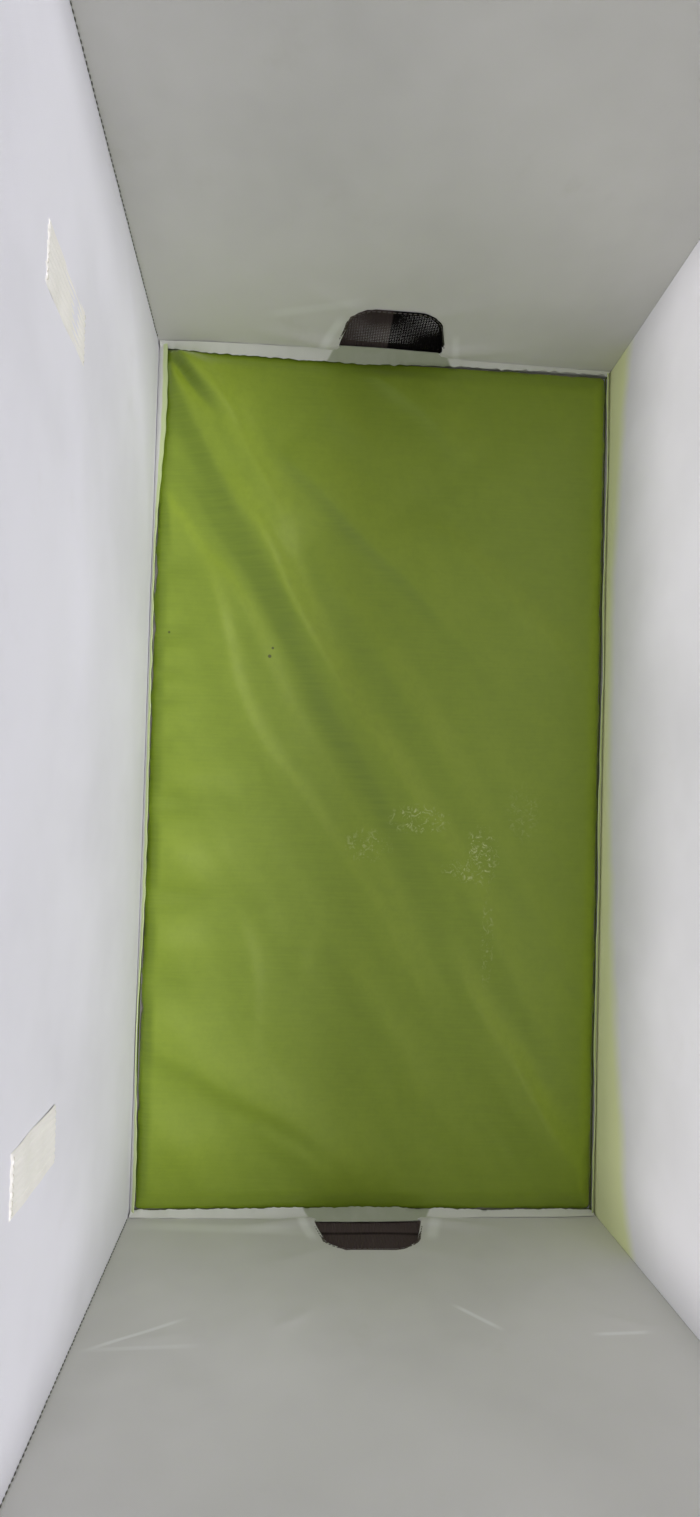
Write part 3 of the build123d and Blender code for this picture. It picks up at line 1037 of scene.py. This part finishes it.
# ---------------------------------------------------------------- hems
# Hems of the ends, in mm from the front wall to the back wall: place, height over the
# base panel, reach in over it.
LEFT_HEM = (
    (0, 5.0, 3.4), (30, 7.0, 4.6), (100, 9.0, 6.6), (118, 12.4, 5.4), (160, 12.6, 4.6),
    (200, 12.4, 4.4), (206, 8.0, 3.8), (214, 5.6, 3.2), (290, 4.2, 2.0), (320, 3.4, 1.6),
)
RIGHT_HEM = (
    (0, 6.4, 3.6), (60, 8.2, 5.0), (110, 9.4, 5.4), (119, 12.6, 4.6), (160, 12.6, 4.6),
    (199, 12.4, 4.6), (210, 10.0, 6.4), (226, 8.4, 5.8), (240, 7.0, 3.6), (300, 6.4, 3.2),
    (320, 5.0, 2.4),
)


def end_hem(side, width, tall):
    """Shape of an end's hem: folded in over the panel's edge, then back up to the wall."""
    top = BASE_TOP - FLOOR_Z
    fold, bent = 0.34, 1.1 * MM
    stops, stands, reaches = zip(*(LEFT_HEM if side < 0 else RIGHT_HEM))

    def shape(u, v):
        rise = np.clip((v - top) / (tall - top), 0, 1)
        drift = waves(u, u * 0, 0.09, 66 + side)
        frill = waves(u, u * 0, 0.020, 86 + side)
        place = 320 / width * (u if side < 0 else width - u)
        stand = np.interp(place, stops, stands) * MM * (1 + 0.05 * drift) + 0.35 * MM * frill
        reach = np.interp(place, stops, reaches) * MM * (1 + 0.2 * drift)
        reach = reach + waves(u, u * 0, 0.007, 96 + side) * 0.45 * MM
        up = np.clip((rise - fold) / (1 - fold), 0, 1)
        out = reach * smooth(rise, 0, fold) * (1 - up)
        out = out + frill * 0.2 * MM * smooth(rise, 0.1, 0.4)
        level = np.where(rise < fold, bent * rise / fold, bent + (stand - bent) * up)
        return u * 0, level - rise * (tall - top), out + 0.1 * MM

    return shape


def long_hem(side, width, tall):
    """Shape of a long wall's hem: it leans in, more so at the front's left corner."""
    top = BASE_TOP - FLOOR_Z
    lean = (2.9 if side < 0 else 2.6) * MM

    def shape(u, v):
        rise = np.clip((v - top) / (tall - top), 0, 1)
        drift = waves(u, u * 0, 0.09, 61 + side)
        frill = waves(u, u * 0, 0.020, 81 + side)
        reach = lean * (0.8 + 0.3 * drift)
        if side < 0:
            reach = reach + 3.0 * MM * (1 - smooth(width - u, 0.02, 0.17))
        out = reach * rise**1.5 + frill * 0.25 * MM * rise
        grown = (tall - top) * (0.1 * drift + 0.08 * frill) * rise
        return u * 0, grown - 0.2 * reach * rise**2, out

    return shape


class CHEST_OT_hems(bpy.types.Operator):
    """Seam allowance standing up along the foot of each wall"""

    bl_idname = "chest.hems"
    bl_label = "Hems"

    def execute(self, context):
        room, least_flat = 1.2 * MM, 10 * MM
        for name, end, side in (*WALLS[2:], *WALLS[:2]):
            kind, hem, finish = (
                ("end hem", end_hem, end_hem_finish) if end
                else ("long hem", long_hem, long_hem_finish)
            )
            node = f"{name.removesuffix('_end')}_hem"
            lowest, _, (along_x, along_y, tall) = measure(node)
            width = (along_y if end else along_x) - 2 * room
            face = INNER_X - along_x if end else INNER_Y - along_y
            sew(f"{node}_cloth", node, "chest", "hem_cloth",
                wall_place(end, side, face, width, lowest.z, tall), hem(side, width, tall),
                cell=1.8 * MM, thickness=0.6 * MM, even=False,
                material=finish_named(kind, finish), flat=(max(tall, least_flat), width))
        return {"FINISHED"}


# ---------------------------------------------------------------- vents and patches
class CHEST_OT_vents(bpy.types.Operator):
    """Bound edges and dark nets of the vents"""

    bl_idname = "chest.vents"
    bl_label = "Vents"

    def execute(self, context):
        size = sizes()
        # the binding's section: growth of the outline, and depth from the inner face in mm
        lip, sleeve, wall = 1.9 * MM, 0.75 * MM, WALL_THICK / MM
        middle_z, net_depth, net_bulge = 37 * MM, 1.3 * MM, 0.35 * MM
        section = (
            (lip, -0.05), (lip, -0.45), (lip * 0.5, -0.65), (0.0, -0.60), (-sleeve * 0.8, -0.2),
            (-sleeve, 0.4), (-sleeve, wall - 0.4), (-sleeve * 0.8, wall + 0.2),
            (0.0, wall + 0.6), (lip * 0.5, wall + 0.65), (lip, wall + 0.45), (lip, wall + 0.05),
            (0.1 * MM, wall + 0.05), (0.1 * MM, -0.05),
        )
        for name, side in (("left", -1), ("right", 1)):
            bm = close_band([
                vent_ring(grown, side * (INNER_X + depth * MM))[:-1] for grown, depth in section
            ])
            wobble = random.Random(name).uniform(0, 6)
            for vert in bm.verts:
                angle = math.atan2(vert.co.z - middle_z, vert.co.y)
                vert.co.y += 0.35 * MM * math.sin(angle * 23 + wobble)
                vert.co.z += 0.45 * MM * math.sin(angle * 31 + wobble)
            add_piece(f"{name}_vent_binding", bm, "chest", "dark_net", [f"{name}_vent_facing"])

            bm = vent_face(-sleeve * 0.9)
            for axis in (1, 2):
                start, end = VENT_LOW[axis], VENT_HIGH[axis]
                count = round((end - start) / size.net_pitch)
                for index in range(1, count):
                    place, normal = Vector((0, 0, 0)), Vector((0, 0, 0))
                    place[axis] = start + (end - start) * index / count
                    normal[axis] = 1.0
                    bmesh.ops.bisect_plane(
                        bm, geom=bm.verts[:] + bm.edges[:] + bm.faces[:], dist=0.01 * MM,
                        plane_co=place, plane_no=normal,
                    )
            for vert in bm.verts:
                bulge = math.sin(vert.co.y * 70 + side) * math.sin(vert.co.z * 120)
                vert.co.x = side * (INNER_X + net_depth + net_bulge * bulge)
            net = add_piece(f"{name}_net", bm, "chest", "dark_net", [f"{name}_vent_net"])
            modify(net, "WIREFRAME", thickness=size.net_thread, use_even_offset=False,
                   use_replace=True, use_boundary=True)
            settle(net)
            line, proud = lip * 0.62, 0.62 * MM
            stitches(f"{name}_vent_stitching", [
                (vent_ring(line, side * (OUTER_X + proud)), (side, 0, 0)),
                (vent_ring(line, side * (INNER_X - proud)), (-side, 0, 0)),
            ], "chest", rgb(96, 90, 86))
        return {"FINISHED"}


class CHEST_OT_patches(bpy.types.Operator):
    """Ribbed patches sewn inside the front wall"""

    bl_idname = "chest.patches"
    bl_label = "Patches"

    def execute(self, context):
        pitch, rib_tall, ground, inset = 3.2 * MM, 0.55 * MM, 0.9 * MM, 1.4 * MM
        face = -INNER_Y + 1.55 * MM
        for name, seed in (("left_patch", 71), ("right_patch", 72)):
            lowest, highest, (width, _, tall) = measure(name)

            def shape(u, v):
                rib = np.abs(np.sin(np.pi * (u - width / 2) / pitch + math.pi / 2))
                edge = edge_gap(u, v, width, tall)
                out = rib_tall * (1 + rib**0.6) * smooth(edge, -0.5 * MM, 1.3 * MM)
                out += ground + waves(u, v, 0.03, seed) * 0.25 * MM
                fray = waves(u, u * 0, 0.004, seed + 3) * 0.5 * MM
                end = np.where(v < tall / 2, -1, 1) * (np.abs(v - tall / 2) > tall / 2 - 1 * MM)
                return waves(v, v * 0, 0.03, seed + 5) * 0.25 * MM, fray * end, out

            sew(f"{name}_tape", name, "chest", "cream_tape",
                ((highest.x, -INNER_Y, lowest.z), (-width, 0, 0), (0, 0, tall)), shape,
                cell=0.55 * MM, thickness=0.6 * MM, even=False)
            x0, x1 = lowest.x + inset, highest.x - inset
            stitches(f"{name}_stitching", [
                (((x0, face, z), (x1, face, z)), (0, 1, 0))
                for z in (lowest.z + inset, highest.z - inset)
            ], "chest", rgb(226, 222, 206))
        return {"FINISHED"}


# ---------------------------------------------------------------- the outside
class CHEST_OT_covers(bpy.types.Operator):
    """Lime satin over the outside of the walls and under the chest"""

    bl_idname = "chest.covers"
    bl_label = "Covers"

    def execute(self, context):
        trim, foot_row, row_end = 1.4 * MM, 9 * MM, 4 * MM
        rows = []
        for name, end, side in WALLS:
            reach, face, cell, seed = (
                (OUTER_Y, OUTER_X, END_CELL, 85) if end
                else (OUTER_X, OUTER_Y, sizes().wall_cell, 81)
            )
            width = 2 * (reach - trim)

            def shape(u, v):
                out = swell(u, v, 0.24, seed + side, sizes().cover_ease)
                out += waves(u, v, 0.05, seed + side + 1) * 0.05 * MM
                # pulled in along the row of stitches above the foot
                row = np.exp(-(((v - foot_row) / (2.5 * MM)) ** 2))
                calm = calm_edges(u, v, width, WALL_TALL, 18 * MM)
                return u * 0, v * 0, out * calm - 0.15 * MM * row

            sew(f"{name}_cover_cloth", f"{name}_cover", "chest", "lime_cloth",
                wall_place(end, side, face, width, FLOOR_Z, WALL_TALL, inward=-1), shape,
                cell=cell, thickness=0.9 * MM, vent=side * end)
            for z in (foot_row, foot_row + 3 * MM):
                rows.append(level_seam(end, width / 2 - row_end, side * face, FLOOR_Z + z, side))
        stitches("foot_stitching", rows, "chest")

        lowest, highest, (long, wide, _) = measure("bottom_cloth")
        sew("underside_cloth", "bottom_cloth", "chest", "lime_cloth",
            ((lowest.x, highest.y, 0.0), (long, 0, 0), (0, -wide, 0)),
            lambda u, v: (u * 0, v * 0, waves(u, v, 0.2, 91) * 0.08 * MM - 0.1 * MM),
            cell=12 * MM, thickness=0.75 * MM, flat=(wide, long))
        return {"FINISHED"}


def rim_band():
    """The rim's binding: loops from inside over the top to outside, and back under."""
    cloth = RIM_Z - BOARD_TOP
    inside, outside = -cloth, WALL_THICK + cloth
    round_low, round_high, snug = RIM_Z - 1.1 * MM, RIM_Z - 0.25 * MM, 0.05 * MM
    outlines = []
    for out, z in (
        (inside, BINDING_FOOT), (inside, RIM_Z - 5 * MM), (inside, round_low),
        (inside * 0.6, round_high), (0.4 * MM, RIM_Z), (WALL_THICK - 0.4 * MM, RIM_Z),
        (outside - cloth * 0.4, round_high), (outside, round_low), (outside, RIM_Z - 5 * MM),
        (outside, BINDING_FOOT), (WALL_THICK + snug, BINDING_FOOT), (WALL_THICK + snug, BOARD_TOP),
        (-snug, BOARD_TOP), (-snug, BINDING_FOOT),
    ):
        x, y = INNER_X + out, INNER_Y + out
        outlines.append([(x, y, z), (-x, y, z), (-x, -y, z), (x, -y, z)])
    bm = close_band(outlines)
    for axis, cuts in ((0, 99), (1, 53)):
        run = [e for e in bm.edges if abs(e.verts[0].co[axis] - e.verts[1].co[axis]) > 0.1]
        bmesh.ops.subdivide_edges(bm, edges=run, cuts=cuts)
    # its feet and its top are a little uneven
    for vert in bm.verts:
        reach = vert.co.x * 1.7 + vert.co.y
        if vert.co.z < BINDING_FOOT + 1 * MM:
            vert.co.z += 0.4 * MM * math.sin(reach * 61) * math.sin(reach * 23 + 1)
        elif vert.co.z > RIM_Z - 1 * MM:
            vert.co.z -= 0.12 * MM * (1 + math.sin(reach * 83) * math.sin(reach * 31))
    return bm


class CHEST_OT_trim(bpy.types.Operator):
    """Corner cords, rim binding and hinge tape, with their stitching"""

    bl_idname = "chest.trim"
    bl_label = "Trim"

    def execute(self, context):
        tuck, cord, fold = 0.8 * MM, 2.2 * MM, 0.55 * MM
        for front, side_y in (("front", -1), ("back", 1)):
            for right, side_x in (("right", 1), ("left", -1)):
                x, y = side_x * (OUTER_X - tuck), side_y * (OUTER_Y - tuck)
                straight_cord(
                    f"{front}_{right}_cord", (x, y, FLOOR_Z), (x, y, BINDING_FOOT + 0.5 * MM),
                    cord, [f"{front}_{right}_piping"],
                )

        add_piece("rim_tape", rim_band(), "chest", "lime_tape", ["rim_binding"])
        cloth, gap, seam_z = RIM_Z - BOARD_TOP, 2 * MM, BINDING_FOOT + 2.4 * MM
        rows = []
        for out, sense in ((WALL_THICK + cloth, 1), (-cloth, -1)):
            x, y = INNER_X + out, INNER_Y + out
            for side in (-1, 1):
                for end, half, face in ((False, x - gap, y), (True, y - gap, x)):
                    rows.append(level_seam(end, half, side * face, seam_z, side * sense))
        stitches("rim_stitching", rows, "chest")

        lowest, highest, (width, _, tall) = measure("hinge_tape")
        bm = lay_cloth(
            (highest.x, highest.y, lowest.z), (-width, 0, 0), (0, 0, tall), 3 * MM,
            lambda u, v: (u * 0, waves(u, v * 0, 0.05, 95) * 0.3 * MM * (v < 2 * MM),
                          waves(u, v, 0.04, 96) * 0.06 * MM - 0.1 * MM),
        )
        tape = add_piece("lid_hinge_tape", bm, "chest", "lime_tape", ["hinge_tape"])
        modify(tape, "SOLIDIFY", thickness=0.6 * MM, offset=-1.0)
        sunk = highest.y - 0.26 * MM
        stitches("hinge_stitching", [
            level_seam(False, highest.x - 3 * MM, sunk, lowest.z + rise, 1)
            for rise in (2 * MM, 5.5 * MM)
        ], "chest")
        # the fold of the tape, along the line that the lid turns on
        ends = [(x, HINGE_Y - 0.1 * MM, HINGE_Z - 0.6 * MM) for x in (-width / 2, width / 2)]
        straight_cord("hinge_fold", *ends, fold)
        return {"FINISHED"}


# ---------------------------------------------------------------- the lid
def lid_sheet(name, node, slot, corner, along, up, seed, thickness, ease=0.0, hem=0.0):
    """A cloth of the lid: eased off its board, or hanging free with a waving hem."""
    width, tall = Vector(along).length, Vector(up).length

    def shape(u, v):
        out = waves(u, v * 0, 0.13, seed + 2) * hem * smooth(v, 0.3 * tall, tall)
        out = out * smooth(np.minimum(u, width - u), 0, 0.05)
        calm = calm_edges(u, v, width, tall, 30 * MM, 10 * MM)
        return u * 0, v * 0, out + swell(u, v, 0.2, seed, ease) * calm

    sew(name, node, "lid", slot, (corner, along, up), shape, cell=5 * MM,
        thickness=thickness, even=False, flat=(width, tall))


def lid_cord(radius, bend):
    """One cord down an end of the lid, round two corners and up the other end."""
    lowest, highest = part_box("lid_piping")
    x, y = highest.x - radius, lowest.y + radius + 0.1 * MM
    foot = lowest.z + radius + bend
    down = Matrix.Translation((-x, y, highest.z)) @ (
        Vector((0, 0, -1)).to_track_quat("Z", "Y").to_matrix().to_4x4())
    bm = bmesh.new()
    made = bmesh.ops.create_circle(bm, cap_ends=False, segments=14, radius=radius, matrix=down)
    ring = set(made["verts"])
    bmesh.ops.contextual_create(bm, geom=ring_edges(bm, ring))
    ring = run_cord(bm, ring, (0, 0, foot - highest.z))
    ring = turn_cord(bm, ring, (-x + bend, y, foot))
    ring = run_cord(bm, ring, (2 * (x - bend), 0, 0))
    ring = turn_cord(bm, ring, (x - bend, y, foot))
    ring = run_cord(bm, ring, (0, 0, highest.z - foot))
    bmesh.ops.contextual_create(bm, geom=ring_edges(bm, ring))
    bmesh.ops.recalc_face_normals(bm, faces=bm.faces)
    return bm


class CHEST_OT_lid(bpy.types.Operator):
    """Flap lid: outer cloth, lining, three skirts and the cord round its edge"""

    bl_idname = "chest.lid"
    bl_label = "Lid"

    def execute(self, context):
        skirt, row_end = 1.1 * MM, 2 * MM
        lowest, highest, (width, _, tall) = measure("lid_cover")
        lid_sheet("lid_top_cloth", "lid_cover", "lime_cloth", tuple(lowest), (width, 0, 0),
                  (0, 0, tall), 101, 0.9 * MM)
        inset, face = 7 * MM, lowest.y + 0.22 * MM
        x0, x1 = lowest.x + inset, highest.x - inset
        foot, head = lowest.z + inset, highest.z - inset
        rows = [
            ([(x, face, z) for x, z in ((x0, head), (x0, foot), (x1, foot), (x1, head))],
             (0, -1, 0)),
            (((x0, face, head), (x1, face, head)), (0, -1, 0)),
        ]
        lowest, highest, (width, _, tall) = measure("lid_lining")
        lid_sheet("lid_lining_cloth", "lid_lining", "white_lining",
                  (highest.x, highest.y, lowest.z), (-width, 0, 0), (0, 0, tall), 103, 0.7 * MM,
                  ease=1.0 * MM)

        lowest, highest, (width, painted_shade, _) = measure("lid_front_skirt")
        lid_sheet("lid_front_flap", "lid_front_skirt", "lime_cloth",
                  (highest.x, lowest.y, lowest.z), (-width, 0, 0), (0, painted_shade, 0), 105, skirt,
                  hem=0.5 * MM)
        y, z = highest.y - 6 * MM, lowest.z
        rows.append((((lowest.x + row_end, y, z), (highest.x - row_end, y, z)), (0, 0, -1)))
        for name, side in (("left", -1), ("right", 1)):
            lowest, highest, (_, painted_shade, tall) = measure(f"lid_{name}_skirt")
            face, start = (highest.x, highest.z) if side > 0 else (lowest.x, lowest.z)
            lid_sheet(f"lid_{name}_flap", f"lid_{name}_skirt", "lime_cloth",
                      (face, lowest.y, start), (0, 0, -side * tall), (0, painted_shade, 0), 107 + side,
                      skirt, hem=0.4 * MM)
            ends = [(face, y, z) for z in (lowest.z + row_end, highest.z - row_end)]
            rows.append((ends, (side, 0, 0)))
        stitches("lid_stitching", rows, "lid")
        cord = lid_cord(radius=1.7 * MM, bend=4 * MM)
        add_piece("lid_cord", cord, "lid", "lime_tape", ["lid_piping"])
        return {"FINISHED"}


# ---------------------------------------------------------------- boards and stage
class CHEST_OT_boards(bpy.types.Operator):
    """Greyboard finish on the stiffening boards"""

    bl_idname = "chest.boards"
    bl_label = "Boards"

    def execute(self, context):
        for name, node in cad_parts.items():
            if name.endswith("_board"):
                node.data.materials.clear()
                node.data.materials.append(finish_named("greyboard"))
        return {"FINISHED"}


class CHEST_OT_stage(bpy.types.Operator):
    """Pale floor, soft lamps, plain world and the camera"""

    bl_idname = "chest.stage"
    bl_label = "Stage"

    def execute(self, context):
        scene = context.scene
        scene.view_settings.view_transform = "Standard"
        bm = bmesh.new()
        bmesh.ops.create_grid(bm, x_segments=4, y_segments=4, size=6.0)
        bmesh.ops.translate(bm, vec=(0, 0, -0.2 * MM), verts=bm.verts)
        ground = Finish("pale floor", Roughness=0.9)
        grey, pale = rgb(196, 196, 195), rgb(201, 201, 200)
        ground.feed("Base Color", ground.mix(ground.noise(3.0), grey, pale))
        add_piece("ground", bm, None, None, material=ground.material)

        for name, place, soft, power, shade in (
            ("key", (-0.02, 1.20, 1.70), 22.0, 2.15, (0.97, 0.96, 1.0)),
            ("fill", (0.06, -1.45, 1.54), 11.0, 1.86, (1.0, 0.965, 0.93)),
        ):
            lamp = bpy.data.lights.new(name, "SUN")
            lamp.angle, lamp.energy, lamp.color = math.radians(soft), power, shade
            holder = put(name, lamp)
            holder.location, holder.rotation_mode = place, "QUATERNION"
            holder.rotation_quaternion = (-Vector(place)).to_track_quat("-Z", "Y")

        world = bpy.data.worlds.new("plain sky")
        world.use_nodes = True
        nodes = Nodes(world.node_tree)
        sky = nodes.node("Background", {"Color": (1.0, 1.0, 1.0), "Strength": 0.25})
        backdrop = nodes.node("Background", {"Color": rgb(226, 226, 225)})
        seen = nodes.node("LightPath", out="Is Camera Ray")
        for ray in ("Is Glossy Ray", "Is Transmission Ray"):
            seen = nodes.maths("MAXIMUM", seen, nodes.node("LightPath", out=ray))
        choice = nodes.node("MixShader", {0: seen, 1: sky, 2: backdrop})
        nodes.node("OutputWorld", {"Surface": choice})
        scene.world = world

        lens = bpy.data.cameras.new("camera")
        lens.lens, lens.sensor_width, lens.shift_y = 20.24, 36.0, 66.5 / 1517
        lens.clip_start, lens.clip_end = 0.01, 50.0
        camera = put("camera", lens)
        camera.location = (0.0498, -0.0595, 0.6031)
        camera.rotation_euler = [math.radians(angle) for angle in (1.575, -3.983, 91.568)]
        scene.camera = camera
        return {"FINISHED"}


# ---------------------------------------------------------------- the add-on
STEPS = (
    CHEST_OT_stage, CHEST_OT_boards, CHEST_OT_base_panel, CHEST_OT_linings, CHEST_OT_hems,
    CHEST_OT_vents, CHEST_OT_patches, CHEST_OT_covers, CHEST_OT_trim, CHEST_OT_lid,
)


class CHEST_PT_panel(bpy.types.Panel):
    """Sizes, colours and steps of the toy chest"""

    bl_label = "Toy Chest"
    bl_idname = "CHEST_PT_panel"
    bl_space_type = "VIEW_3D"
    bl_region_type = "UI"
    bl_category = "Toy Chest"

    def draw(self, context):
        for group in (sizes(), colours()):
            for key in group.bl_rna.properties.keys():
                if key not in ("rna_type", "name"):
                    self.layout.prop(group, key)
        for step in STEPS:
            self.layout.operator(step.bl_idname)


CLASSES = (ChestSizes, ChestColours, *STEPS, CHEST_PT_panel)


def register():
    for cls in CLASSES:
        bpy.utils.register_class(cls)
    bpy.types.Scene.chest_sizes = bpy.props.PointerProperty(type=ChestSizes)
    bpy.types.Scene.chest_colours = bpy.props.PointerProperty(type=ChestColours)


def unregister():
    del bpy.types.Scene.chest_colours, bpy.types.Scene.chest_sizes
    for cls in reversed(CLASSES):
        bpy.utils.unregister_class(cls)


def main():
    register()
    for step in STEPS:
        group, name = step.bl_idname.split(".")
        getattr(getattr(bpy.ops, group), name)()


if __name__ == "__main__":
    main()
